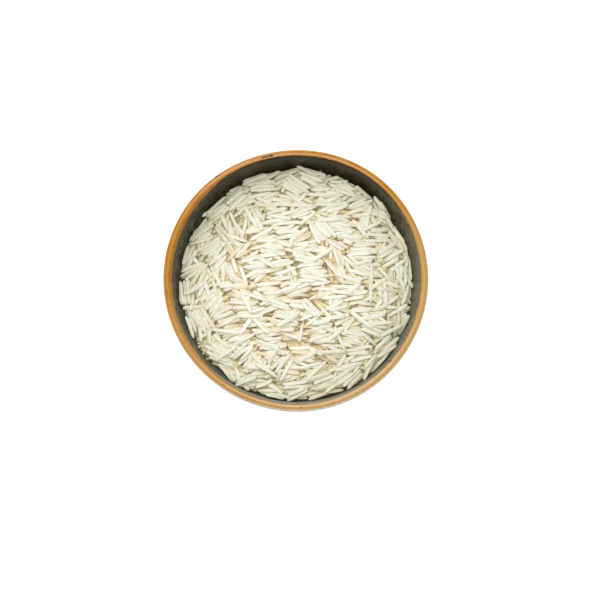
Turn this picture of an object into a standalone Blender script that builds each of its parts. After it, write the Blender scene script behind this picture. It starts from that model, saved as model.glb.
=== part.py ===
"""A small stoneware bowl filled with dry long-grain rice.

Run with: blender --background --python part.py

Units are metres. +Z is up, the origin is the centre of the bowl's foot on the table, and -Y faces
the person who looks into the bowl.

Two pieces: the bowl is one turned solid with a rounded lip and a foot ring, and the rice is one
solid, a low mound whose upper grains are fused to it.
"""

import math
from dataclasses import dataclass

import bmesh
import bpy
import numpy as np
from mathutils import Euler, Matrix, Vector
from mathutils.bvhtree import BVHTree

# Bowl: driving dimensions
RIM_DIAMETER = 0.095
BOWL_HEIGHT = 0.047
LIP_THICKNESS = 0.003
INNER_DEPTH = 0.040
OUTER_DEPTH = 0.045
WALL_CURVE = 2.3
FOOT_RADIUS = 0.025
FOOT_WIDTH = 0.0035
FOOT_CHAMFER = 0.0005
FOOT_RECESS = 0.0022
BOWL_SEGMENTS = 48
INNER_STATIONS = 8
OUTER_STATIONS = 8
LIP_STEPS = 6

# Rice: driving dimensions
EDGE_BELOW_RIM = 0.012
CROWN = 0.0052
WALL_GAP = 0.00035
CORE_SINK = 0.0016
CORE_SEGMENTS = 30
CORE_TOP_RINGS = 4
GRAIN_LENGTH = 0.0076
GRAIN_WIDTH = 0.00185
GRAIN_HEIGHT = 0.0016
GRAIN_SPREAD = 0.09
GRAIN_BEND = 0.00025
GRAIN_BLUNTNESS = 0.55
LOWER_GRAINS = 165
UPPER_GRAINS = 120
LOWER_OVERLAP = 0.0004
UPPER_OVERLAP = 0.0002
LOWER_FACETS = (4, 2)
UPPER_FACETS = (5, 3)
STEEPEST_GRAIN = math.radians(24)
TRIES_PER_GRAIN = 60
BED_CELL = 0.0004
SEED = 18

# Derived sizes
OUTER_RADIUS = RIM_DIAMETER / 2
INNER_RADIUS = OUTER_RADIUS - LIP_THICKNESS
LIP_RADIUS = LIP_THICKNESS / 2
LIP_CENTRE_HEIGHT = BOWL_HEIGHT - LIP_RADIUS


def wall_radius(depth, mouth_radius, full_depth):
    """Radius of a bowl's wall at a depth below the lip's centre: steep at the mouth, round below."""
    share = min(max(depth / full_depth, 0.0), 1.0)
    return mouth_radius * math.sqrt(1.0 - share**WALL_CURVE)


def inner_radius(z):
    """Radius of the bowl's inner wall at a height above the table."""
    return wall_radius(LIP_CENTRE_HEIGHT - z, INNER_RADIUS, INNER_DEPTH - LIP_RADIUS)


def wall_points(mouth_radius, full_depth, stations, last_share=1.0):
    """(radius, height) points down a wall, closer together where it turns towards the floor."""
    points = []
    for i in range(1, stations + 1):
        share = last_share * math.sin(0.5 * math.pi * i / stations)
        depth = share * full_depth
        points.append((wall_radius(depth, mouth_radius, full_depth), LIP_CENTRE_HEIGHT - depth))
    return points


def inner_wall_points():
    """The inner wall from just below the lip down to the middle of the floor."""
    return wall_points(INNER_RADIUS, INNER_DEPTH - LIP_RADIUS, INNER_STATIONS)


def outer_wall_points():
    """The outer wall from just below the lip down to where it meets the foot ring."""
    full_depth = OUTER_DEPTH - LIP_RADIUS
    at_foot = (1.0 - (FOOT_RADIUS / OUTER_RADIUS) ** 2) ** (1.0 / WALL_CURVE)
    return wall_points(OUTER_RADIUS, full_depth, OUTER_STATIONS, last_share=at_foot)


def lip_points():
    """The round lip, from its inner side over the top to its outer side."""
    middle = INNER_RADIUS + LIP_RADIUS
    points = []
    for i in range(LIP_STEPS + 1):
        angle = math.pi * (1.0 - i / LIP_STEPS)
        radius = middle + LIP_RADIUS * math.cos(angle)
        points.append((radius, LIP_CENTRE_HEIGHT + LIP_RADIUS * math.sin(angle)))
    return points


def foot_points():
    """The foot ring, from its outer side under the ring and up to the middle of its recess."""
    ring_inside = FOOT_RADIUS - FOOT_WIDTH
    return [
        (FOOT_RADIUS - FOOT_CHAMFER / 2, FOOT_CHAMFER),
        (FOOT_RADIUS - 1.5 * FOOT_CHAMFER, 0.0),
        (ring_inside, 0.0),
        (ring_inside - FOOT_CHAMFER, FOOT_RECESS),
        (0.0, FOOT_RECESS),
    ]


def plain_material(name, colour, roughness):
    """A Principled material of one colour."""
    material = bpy.data.materials.new(name)
    material.use_nodes = True
    shader = material.node_tree.nodes["Principled BSDF"]
    shader.inputs["Base Color"].default_value = (*colour, 1.0)
    shader.inputs["Roughness"].default_value = roughness
    shader.inputs["Metallic"].default_value = 0.0
    return material


def add_object(name, mesh):
    """Links a new object that holds the mesh."""
    made = bpy.data.objects.new(name, mesh)
    bpy.context.scene.collection.objects.link(made)
    return made


def turned_mesh(name, profile, segments):
    """A closed mesh from a (radius, height) profile that starts and ends on the vertical axis."""
    shape = bmesh.new()
    points = [shape.verts.new((radius, 0.0, height)) for radius, height in profile]
    edges = [shape.edges.new(pair) for pair in zip(points, points[1:])]
    bmesh.ops.spin(
        shape,
        geom=points + edges,
        cent=(0.0, 0.0, 0.0),
        axis=(0.0, 0.0, 1.0),
        angle=2.0 * math.pi,
        steps=segments,
        use_duplicate=False,
    )
    bmesh.ops.remove_doubles(shape, verts=shape.verts, dist=1e-6)
    bmesh.ops.recalc_face_normals(shape, faces=shape.faces)
    mesh = bpy.data.meshes.new(name)
    shape.to_mesh(mesh)
    shape.free()
    return mesh


def make_bowl():
    """The bowl, turned from one profile that runs from the floor over the lip to the foot."""
    inner = list(reversed(inner_wall_points()))
    profile = inner + lip_points() + outer_wall_points() + foot_points()
    mesh = turned_mesh("bowl", profile, BOWL_SEGMENTS)
    mesh.shade_smooth()
    mesh.set_sharp_from_angle(angle=math.radians(40))
    bowl = add_object("bowl", mesh)
    bowl.data.materials.append(plain_material("charcoal_glaze", (0.055, 0.050, 0.036), 0.4))
    return bowl


def mound_height(x, y):
    """Height of the rice's upper surface: a low uneven crown between the walls."""
    edge = BOWL_HEIGHT - EDGE_BELOW_RIM
    share = np.minimum((x**2 + y**2) / inner_radius(edge) ** 2, 1.0)
    waves = 0.0005 * np.sin(95.0 * x + 0.8) * np.cos(80.0 * y - 0.4)
    waves += 0.0003 * np.sin(170.0 * y + 60.0 * x + 2.1)
    return edge + CROWN * (1.0 - share) + waves


def core_height(x, y):
    """Height of the core under the loose grains."""
    return mound_height(x, y) - CORE_SINK


def make_core():
    """The closed body of rice below the grains that show, clear of the bowl's wall all round."""
    edge_height = float(core_height(0.0, inner_radius(BOWL_HEIGHT - EDGE_BELOW_RIM)))
    lowered = [point for point in reversed(inner_wall_points()) if point[1] < edge_height - 0.001]
    walls = []
    for (r0, z0), (r1, z1) in zip(lowered, lowered[1:]):
        out = Vector((z1 - z0, -(r1 - r0))).normalized()
        walls.append((r1 - WALL_GAP * out.x, z1 - WALL_GAP * out.y))
    floor = (0.0, lowered[0][1] + WALL_GAP)
    rim_radius = inner_radius(edge_height) - WALL_GAP
    tops = [(rim_radius * (1.0 - i / CORE_TOP_RINGS), edge_height) for i in range(CORE_TOP_RINGS + 1)]
    mesh = turned_mesh("rice", [floor] + walls + tops, CORE_SEGMENTS)
    for vertex in mesh.vertices:
        if vertex.co.z > edge_height - 1e-5:
            vertex.co.z = float(core_height(vertex.co.x, vertex.co.y))
    return add_object("rice", mesh)


@dataclass
class Grain:
    """One grain's size, and where it came to rest."""

    length: float
    width: float
    height: float
    x: float = 0.0
    y: float = 0.0
    z: float = 0.0
    yaw: float = 0.0
    pitch: float = 0.0

    def axis_points(self, along):
        """World places of points on the grain's long axis, at distances from its middle."""
        flat = along * math.cos(self.pitch)
        return (
            self.x + flat * math.cos(self.yaw),
            self.y + flat * math.sin(self.yaw),
            self.z + along * math.sin(self.pitch),
        )


class Bed:
    """A height map of the core's faceted top and of what the grains have covered so far."""

    def __init__(self, core):
        self.reach = OUTER_RADIUS
        self.count = int(2 * self.reach / BED_CELL)
        places = (np.arange(self.count) + 0.5) * BED_CELL - self.reach
        x, y = np.meshgrid(places, places, indexing="ij")
        self.height = core_height(x, y)
        points = [vertex.co for vertex in core.data.vertices]
        tree = BVHTree.FromPolygons(points, [list(face.vertices) for face in core.data.polygons])
        for i, j in np.ndindex(self.height.shape):
            above = Vector((x[i, j], y[i, j], BOWL_HEIGHT))
            hit = tree.ray_cast(above, Vector((0.0, 0.0, -1.0)))[0]
            if hit is not None:
                self.height[i, j] = hit.z

    def cells(self, x, y):
        """Indices of the cells that hold these places."""
        i = np.clip(((x + self.reach) / BED_CELL).astype(int), 0, self.count - 1)
        j = np.clip(((y + self.reach) / BED_CELL).astype(int), 0, self.count - 1)
        return i, j

    def rest(self, grain, overlap):
        """Lowers the grain onto two supports, one on each side of its middle, sunk in a little."""
        along = np.linspace(-0.46, 0.46, 13) * grain.length
        across = np.array([-0.3, 0.0, 0.3]) * grain.width
        a, c = np.meshgrid(along, across, indexing="ij")
        x = grain.x + a * math.cos(grain.yaw) - c * math.sin(grain.yaw)
        y = grain.y + a * math.sin(grain.yaw) + c * math.cos(grain.yaw)
        belly = 0.5 * grain.height * np.sqrt(1.0 - (1.9 * a / grain.length) ** 2) * 0.85
        needed = (self.height[self.cells(x, y)] + belly).max(axis=1)
        left, right = along <= 0.0, along > 0.0
        sa, sb = along[left][:, None], along[right][None, :]
        ga, gb = needed[left][:, None], needed[right][None, :]
        middle = (ga * sb - gb * sa) / (sb - sa)
        best = np.unravel_index(np.argmax(middle), middle.shape)
        slope = (gb[0, best[1]] - ga[best[0], 0]) / (sb[0, best[1]] - sa[best[0], 0])
        grain.z = float(middle[best]) - overlap
        grain.pitch = math.atan(slope)

    def cover(self, grain):
        """Raises the map to the grain's upper side."""
        steps = np.arange(-0.5, 0.5 + 1e-9, 0.3 * BED_CELL / grain.length) * grain.length
        sides = np.linspace(-0.5, 0.5, 13) * grain.width
        a, c = np.meshgrid(steps, sides, indexing="ij")
        shape = 1.0 - (2.0 * a / grain.length) ** 2 - (2.0 * c / grain.width) ** 2
        a, c, shape = a[shape > 0], c[shape > 0], shape[shape > 0]
        x = grain.x + a * math.cos(grain.yaw) - c * math.sin(grain.yaw)
        y = grain.y + a * math.sin(grain.yaw) + c * math.cos(grain.yaw)
        top = grain.z + a * math.tan(grain.pitch) + 0.5 * grain.height * np.sqrt(shape)
        np.maximum.at(self.height, self.cells(x, y), top)


def inside_bowl(grain):
    """Whether the grain stays clear of the bowl's wall."""
    for share in (-0.5, -0.3, 0.3, 0.5):
        x, y, z = grain.axis_points(share * grain.length)
        half_width = 0.0 if abs(share) == 0.5 else 0.5 * grain.width
        if math.hypot(x, y) + half_width > inner_radius(z - 0.5 * grain.height) - WALL_GAP - 0.0002:
            return False
    return True


def settle_grains(core):
    """Drops grains one by one, each turned at random, into the deepest of many places it is tried."""
    draw = np.random.default_rng(SEED)
    bed = Bed(core)
    surface_radius = inner_radius(BOWL_HEIGHT - EDGE_BELOW_RIM)
    settled = []
    while len(settled) < LOWER_GRAINS + UPPER_GRAINS:
        overlap = LOWER_OVERLAP if len(settled) < LOWER_GRAINS else UPPER_OVERLAP
        size = 1.0 + GRAIN_SPREAD * draw.uniform(-1.0, 1.0)
        yaw = draw.uniform(0.0, math.pi)
        best, best_depth = None, -1.0
        for _ in range(TRIES_PER_GRAIN):
            distance = surface_radius * math.sqrt(draw.uniform())
            turn = draw.uniform(0.0, 2.0 * math.pi)
            x, y = distance * math.cos(turn), distance * math.sin(turn)
            tried = Grain(GRAIN_LENGTH * size, GRAIN_WIDTH, GRAIN_HEIGHT, x, y, yaw=yaw)
            bed.rest(tried, overlap)
            depth = float(mound_height(x, y)) - tried.z
            if depth > best_depth and abs(tried.pitch) < STEEPEST_GRAIN and inside_bowl(tried):
                best, best_depth = tried, depth
        if best is not None:
            bed.cover(best)
            settled.append(best)
    return settled


def grain_mesh(grain, sides, rings, draw):
    """A spindle with a few sides, a little bent, in the grain's place."""
    shape = bmesh.new()
    bmesh.ops.create_uvsphere(shape, u_segments=sides, v_segments=rings + 1, radius=1.0)
    bend = GRAIN_BEND * draw.uniform(0.3, 1.0)
    for vertex in shape.verts:
        across = math.hypot(vertex.co.x, vertex.co.y)
        blunt = across ** (GRAIN_BLUNTNESS - 1.0) if across > 1e-6 else 0.0
        vertex.co.x = vertex.co.x * blunt * grain.height / 2
        vertex.co.y = vertex.co.y * blunt * grain.width / 2 + bend * (0.5 - vertex.co.z**2)
        vertex.co.z *= grain.length / 2
    roll = Matrix.Rotation(draw.uniform(-0.5, 0.5), 4, "Z")
    lie_down = Matrix.Rotation(math.pi / 2, 4, "Y")
    turn = Euler((0.0, -grain.pitch, grain.yaw)).to_matrix().to_4x4()
    place = Matrix.Translation((grain.x, grain.y, grain.z))
    bmesh.ops.transform(shape, matrix=place @ turn @ lie_down @ roll, verts=shape.verts)
    mesh = bpy.data.meshes.new("grain")
    shape.to_mesh(mesh)
    shape.free()
    return mesh


def islands(shape):
    """The shape's separate closed shells, as lists of faces."""
    left, found = set(shape.faces), []
    while left:
        shell, edge_of = [], [left.pop()]
        while edge_of:
            face = edge_of.pop()
            shell.append(face)
            near = {other for edge in face.edges for other in edge.link_faces} & left
            left -= near
            edge_of.extend(near)
        found.append(shell)
    return found


def keep_outer_shell(mesh):
    """Fills hollows that fusing has sealed, and drops scraps, by keeping the largest shell."""
    shape = bmesh.new()
    shape.from_mesh(mesh)
    shells = islands(shape)
    largest = max(shells, key=len)
    for shell in shells:
        if shell is not largest:
            bmesh.ops.delete(shape, geom=shell, context="FACES")
    shape.to_mesh(mesh)
    shape.free()


def fuse(core, loose, solver):
    """Joins the core and the loose grains into one solid."""
    union = core.modifiers.new("fuse", "BOOLEAN")
    union.operation = "UNION"
    union.operand_type = "COLLECTION"
    union.collection = loose
    union.solver = solver
    bpy.context.view_layer.update()
    graph = bpy.context.evaluated_depsgraph_get()
    fused = bpy.data.meshes.new_from_object(core.evaluated_get(graph))
    core.modifiers.remove(union)
    core.data = fused
    for grain in list(loose.objects):
        bpy.data.objects.remove(grain)
    bpy.data.collections.remove(loose)
    keep_outer_shell(core.data)


def make_rice():
    """The rice: a core with the upper grains fused on."""
    core = make_core()
    draw = np.random.default_rng(SEED + 1)
    loose = bpy.data.collections.new("loose_grains")
    bpy.context.scene.collection.children.link(loose)
    for i, grain in enumerate(settle_grains(core)):
        sides, rings = LOWER_FACETS if i < LOWER_GRAINS else UPPER_FACETS
        mesh = grain_mesh(grain, sides, rings, draw)
        loose.objects.link(bpy.data.objects.new("grain", mesh))
    fuse(core, loose, "MANIFOLD")
    core.data.name = "rice"
    core.data.materials.clear()
    core.data.materials.append(plain_material("dry_rice", (0.80, 0.74, 0.58), 0.45))
    return core


def main():
    for thing in list(bpy.data.objects):
        bpy.data.objects.remove(thing)
    make_bowl()
    make_rice()


if __name__ == "__main__":
    main()
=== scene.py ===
"""A small stoneware bowl of dry long-grain rice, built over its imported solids.

The bowl is turned again at a finer step and glazed: charcoal inside and out, with an ochre band
over the lip and a bare clay foot. The rice is laid again grain by grain over its own core.

Units are metres unless a name says otherwise. +Z is up, the origin is the centre of the foot on
the table, and -Y faces the person who looks into the bowl.
"""

import logging
import math
from collections.abc import Sequence
from dataclasses import dataclass, field
from enum import Enum

import bpy
import numpy as np
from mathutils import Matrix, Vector


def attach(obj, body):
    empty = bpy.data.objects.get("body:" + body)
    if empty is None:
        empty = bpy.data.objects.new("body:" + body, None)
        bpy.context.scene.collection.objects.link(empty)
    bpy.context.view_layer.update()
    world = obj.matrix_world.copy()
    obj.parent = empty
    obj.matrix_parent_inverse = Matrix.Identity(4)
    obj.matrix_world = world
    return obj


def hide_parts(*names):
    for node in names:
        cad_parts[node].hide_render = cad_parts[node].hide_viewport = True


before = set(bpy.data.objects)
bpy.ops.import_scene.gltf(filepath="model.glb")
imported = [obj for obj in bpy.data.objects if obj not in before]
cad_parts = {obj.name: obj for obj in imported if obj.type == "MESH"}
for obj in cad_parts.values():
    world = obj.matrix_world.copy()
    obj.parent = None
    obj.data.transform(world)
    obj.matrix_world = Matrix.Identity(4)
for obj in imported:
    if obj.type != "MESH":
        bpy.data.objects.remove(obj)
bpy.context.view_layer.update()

LOG = logging.getLogger("bowl_of_rice")
MM = 0.001
Colour = tuple[float, float, float]
Array = np.ndarray


class GrainKind(Enum):
    """The kinds of grain that lie mixed in the bowl; the value is the piece's name."""

    PEARLY = "grains_pearly"
    CHALKY = "grains_chalky"
    IVORY = "grains_ivory"
    BROKEN = "grains_broken"


def report(piece: bpy.types.Object) -> None:
    """Writes a finished piece's name, triangle count and size to the log.

    Args:
        piece: The object to report.
    """
    piece.data.calc_loop_triangles()
    size = " x ".join(f"{1000 * side:.1f}" for side in piece.dimensions)
    LOG.info("%s: %d triangles, %s mm", piece.name, len(piece.data.loop_triangles), size)


def add_piece(name: str, mesh: bpy.types.Mesh, node: str) -> bpy.types.Object:
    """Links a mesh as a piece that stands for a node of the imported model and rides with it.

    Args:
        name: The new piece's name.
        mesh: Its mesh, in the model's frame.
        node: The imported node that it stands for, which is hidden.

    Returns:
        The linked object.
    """
    piece = bpy.data.objects.new(name, mesh)
    bpy.context.scene.collection.objects.link(piece)
    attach(piece, "root")
    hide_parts(node)
    return piece


def add_values(mesh: bpy.types.Mesh, name: str, values: Array) -> None:
    """Stores one number for each vertex, for a material to read.

    Args:
        mesh: The mesh that gets the values.
        name: The attribute's name.
        values: One value for each vertex.
    """
    store = mesh.attributes.new(name, "FLOAT", "POINT")
    store.data.foreach_set("value", np.ascontiguousarray(values, dtype=np.float32).ravel())


def add_vectors(mesh: bpy.types.Mesh, name: str, vectors: Array) -> None:
    """Stores one vector for each vertex, for a material to read.

    Args:
        mesh: The mesh that gets the vectors.
        name: The attribute's name.
        vectors: One row of three numbers for each vertex.
    """
    store = mesh.attributes.new(name, "FLOAT_VECTOR", "POINT")
    store.data.foreach_set("vector", np.ascontiguousarray(vectors, dtype=np.float32).ravel())


class NodeDesk:
    """Adds nodes to one material and joins them up."""

    def __init__(self, name: str) -> None:
        """Starts a material with its shader and output.

        Args:
            name: The material's name.
        """
        self.material = bpy.data.materials.new(name)
        self.material.use_nodes = True
        self.tree = self.material.node_tree
        self.shader = self.tree.nodes["Principled BSDF"]

    def node(self, kind: str, **settings: object) -> bpy.types.Node:
        """Adds a node and sets its options.

        Args:
            kind: The node's type name.
            **settings: Options of the node, by their own names.

        Returns:
            The new node.
        """
        made = self.tree.nodes.new(kind)
        for key, value in settings.items():
            setattr(made, key, value)
        return made

    def feed(self, socket: bpy.types.NodeSocket, source: object) -> None:
        """Joins a socket to another node's output, or sets its value.

        Args:
            socket: The socket that receives.
            source: An output socket, a number or a colour.
        """
        if isinstance(source, bpy.types.NodeSocket):
            self.tree.links.new(source, socket)
        elif isinstance(source, tuple) and len(source) == 3 and socket.type == "RGBA":
            socket.default_value = (*source, 1.0)
        else:
            socket.default_value = source

    def value_of(self, name: str) -> bpy.types.NodeSocket:
        """The value that the mesh stores under this name."""
        return self.node("ShaderNodeAttribute", attribute_name=name).outputs["Fac"]

    def vector_of(self, name: str) -> bpy.types.NodeSocket:
        """The vector that the mesh stores under this name."""
        return self.node("ShaderNodeAttribute", attribute_name=name).outputs["Vector"]

    def place(self) -> bpy.types.NodeSocket:
        """The point's place on the object, in metres."""
        return self.node("ShaderNodeTexCoord").outputs["Object"]

    def stretched(self, source: bpy.types.NodeSocket, scale: Sequence[float]) -> bpy.types.NodeSocket:
        """A place with each of its axes scaled.

        Args:
            source: The place.
            scale: Factors along X, Y and Z.

        Returns:
            The scaled place.
        """
        mapping = self.node("ShaderNodeMapping")
        self.feed(mapping.inputs["Vector"], source)
        mapping.inputs["Scale"].default_value = scale
        return mapping.outputs["Vector"]

    def noise(
        self, source: bpy.types.NodeSocket, scale: float, detail: float = 3.0, rough: float = 0.5
    ) -> bpy.types.NodeSocket:
        """Soft random values.

        Args:
            source: Where the noise is read.
            scale: How many blobs a unit of length holds.
            detail: How many finer layers are added.
            rough: How strong those layers are.

        Returns:
            A value of about 0 to 1.
        """
        made = self.node("ShaderNodeTexNoise")
        self.feed(made.inputs["Vector"], source)
        made.inputs["Scale"].default_value = scale
        made.inputs["Detail"].default_value = detail
        made.inputs["Roughness"].default_value = rough
        return made.outputs["Fac"]

    def between(
        self,
        source: bpy.types.NodeSocket,
        low: float,
        high: float,
        to_low: float = 0.0,
        to_high: float = 1.0,
    ) -> bpy.types.NodeSocket:
        """A value carried smoothly from one range to another, and held at its ends.

        Args:
            source: The value.
            low: Where the first range starts.
            high: Where it ends.
            to_low: What the start becomes.
            to_high: What the end becomes.

        Returns:
            The carried value.
        """
        made = self.node("ShaderNodeMapRange", interpolation_type="SMOOTHSTEP")
        self.feed(made.inputs["Value"], source)
        made.inputs["From Min"].default_value = low
        made.inputs["From Max"].default_value = high
        made.inputs["To Min"].default_value = to_low
        made.inputs["To Max"].default_value = to_high
        return made.outputs["Result"]

    def sum_of(self, operation: str, first: object, second: object) -> bpy.types.NodeSocket:
        """Arithmetic on two values.

        Args:
            operation: ADD, MULTIPLY and so on.
            first: A socket or a number.
            second: A socket or a number.

        Returns:
            The result.
        """
        made = self.node("ShaderNodeMath", operation=operation)
        self.feed(made.inputs[0], first)
        self.feed(made.inputs[1], second)
        return made.outputs["Value"]

    def blend(self, share: object, first: object, second: object) -> bpy.types.NodeSocket:
        """A mix of two colours.

        Args:
            share: How much of the second colour shows, 0 to 1.
            first: A colour or a socket.
            second: A colour or a socket.

        Returns:
            The mixed colour.
        """
        made = self.node("ShaderNodeMix", data_type="RGBA")
        self.feed(made.inputs["Factor"], share)
        colours = [socket for socket in made.inputs if socket.type == "RGBA"]
        self.feed(colours[0], first)
        self.feed(colours[1], second)
        return next(socket for socket in made.outputs if socket.type == "RGBA")

    def mix(self, share: object, first: object, second: object) -> bpy.types.NodeSocket:
        """A mix of two numbers.

        Args:
            share: How much of the second shows, 0 to 1.
            first: A number or a socket.
            second: A number or a socket.

        Returns:
            The mixed number.
        """
        made = self.node("ShaderNodeMix", data_type="FLOAT")
        self.feed(made.inputs["Factor"], share)
        self.feed(made.inputs["A"], first)
        self.feed(made.inputs["B"], second)
        return made.outputs["Result"]

    def steps(
        self, source: bpy.types.NodeSocket, stops: Sequence[tuple[float, Colour]]
    ) -> bpy.types.NodeSocket:
        """A colour read off a strip of colours.

        Args:
            source: Where on the strip, 0 to 1.
            stops: Places on the strip with their colours.

        Returns:
            The colour.
        """
        made = self.node("ShaderNodeValToRGB")
        self.feed(made.inputs["Fac"], source)
        strip = made.color_ramp.elements
        while len(strip) < len(stops):
            strip.new(0.5)
        for element, (position, colour) in zip(strip, stops):
            element.position = position
            element.color = (*colour, 1.0)
        return made.outputs["Color"]

    def relief(self, height: bpy.types.NodeSocket, depth: float, strength: float) -> None:
        """Gives the shader fine relief.

        Args:
            height: The relief's height, 0 to 1.
            depth: How far the height reaches, in metres.
            strength: How much of it shows.
        """
        made = self.node("ShaderNodeBump")
        self.feed(made.inputs["Height"], height)
        made.inputs["Distance"].default_value = depth
        made.inputs["Strength"].default_value = strength
        self.feed(self.shader.inputs["Normal"], made.outputs["Normal"])


@dataclass(frozen=True)
class StonewareGlaze:
    """Charcoal satin glaze with an ochre lip and a bare foot, all in one material, with painted light on
    the inner front wall and painted highlights on the lip.
    """

    charcoal: Colour = (0.027, 0.020, 0.007)
    olive: Colour = (0.058, 0.048, 0.024)
    # Lighter glaze colour for the inner wall: painted light and painted reflection, strongest at the front.
    thin: Colour = (0.290, 0.278, 0.200)
    rust: Colour = (0.075, 0.040, 0.014)
    ochre: Colour = (0.45, 0.168, 0.004)
    honey: Colour = (0.50, 0.212, 0.010)
    # Paler ochre for the painted highlights on the lip.
    painted_highlight_ochre: Colour = (0.575, 0.330, 0.105)
    burnt: Colour = (0.15, 0.065, 0.016)
    clay: Colour = (0.30, 0.20, 0.13)
    speck: Colour = (0.020, 0.014, 0.010)
    speck_blobs: float = 900.0
    speck_limits: tuple[float, float] = (0.735, 0.765)
    mottle_blobs: float = 560.0
    drip_blobs: float = 260.0
    drip_stretch: float = 0.22
    waver_blobs: float = 520.0
    waver: float = 0.10
    grit_blobs: float = 1600.0
    band_reach: float = 1.6
    band_fade: tuple[tuple[float, float], ...] = (
        (0.150, 0.0),
        (0.205, 0.45),
        (0.260, 1.0),
        (0.740, 1.0),
        (0.800, 0.55),
        (0.860, 0.0),
    )
    clay_roughness: float = 0.85
    relief_depth: float = 0.00006
    relief_share: float = 0.5
    mottle_relief: float = 0.8

    def material(self, name: str, roughness: float, ior: float) -> bpy.types.Material:
        """Mixes the glaze from the mesh's own values.

        Args:
            name: The material's name.
            roughness: How rough the glaze is where it is even.
            ior: Its refraction, which sets how strongly it mirrors.

        Returns:
            The finished material.
        """
        desk = NodeDesk(name)
        place = desk.place()
        mottle = desk.noise(place, self.mottle_blobs, 5.0, 0.6)
        drips = desk.noise(desk.stretched(place, (1.0, 1.0, self.drip_stretch)), self.drip_blobs)
        body = desk.blend(desk.between(mottle, 0.35, 0.72), self.charcoal, self.olive)
        # Painted light on the inner front wall, with a little random glaze variation mixed in.
        thin_and_lit = desk.sum_of("ADD", desk.value_of("glaze_painted_light"), desk.between(mottle, 0.3, 0.7, -0.2, 0.2))
        body = desk.blend(desk.between(thin_and_lit, 0.1, 1.0), body, self.thin)
        body = desk.blend(desk.between(drips, 0.60, 0.82, 0.0, 0.7), body, self.rust)

        shift = desk.between(desk.noise(place, self.waver_blobs), 0.2, 0.8, -self.waver, self.waver)
        across = desk.sum_of("ADD", desk.value_of("lip_place"), shift)
        strip = desk.between(across, -self.band_reach, self.band_reach)
        strip.node.interpolation_type = "LINEAR"
        tone = desk.blend(desk.between(drips, 0.3, 0.7), self.ochre, self.honey)
        # Painted highlight: paler ochre at the front right and on the outer edge at the back.
        tone = desk.blend(desk.between(desk.value_of("lip_painted_highlight"), 0.1, 0.95), tone, self.painted_highlight_ochre)
        band = desk.steps(strip, [(position, (share, share, share)) for position, share in self.band_fade])
        edge = desk.between(band, 0.0, 0.55)
        inner = desk.between(band, 0.45, 1.0)
        glaze = desk.blend(edge, body, self.burnt)
        glaze = desk.blend(inner, glaze, tone)

        dots = desk.between(desk.noise(place, self.speck_blobs, 2.0, 0.4), *self.speck_limits)
        glaze = desk.blend(dots, glaze, self.speck)
        chipped = desk.value_of("chipped")
        glaze = desk.blend(desk.between(chipped, 0.05, 0.60), glaze, self.speck)

        grit = desk.noise(place, self.grit_blobs, 4.0, 0.65)
        clay = desk.blend(desk.between(grit, 0.45, 0.7), self.clay, self.burnt)
        bare = desk.between(desk.sum_of("ADD", desk.value_of("bare"), shift), 0.45, 0.55)
        desk.feed(desk.shader.inputs["Base Color"], desk.blend(bare, glaze, clay))

        sheen = desk.between(mottle, 0.3, 0.75, roughness - 0.05, roughness + 0.09)
        dull = desk.sum_of("MAXIMUM", bare, chipped)
        desk.feed(desk.shader.inputs["Roughness"], desk.mix(dull, sheen, self.clay_roughness))
        desk.shader.inputs["IOR"].default_value = ior
        fine = desk.sum_of("MULTIPLY", grit, desk.between(bare, 0.0, 1.0, 0.12, 1.0))
        height = desk.sum_of("ADD", fine, desk.sum_of("MULTIPLY", mottle, self.mottle_relief))
        desk.relief(height, self.relief_depth, self.relief_share)
        return desk.material


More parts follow.
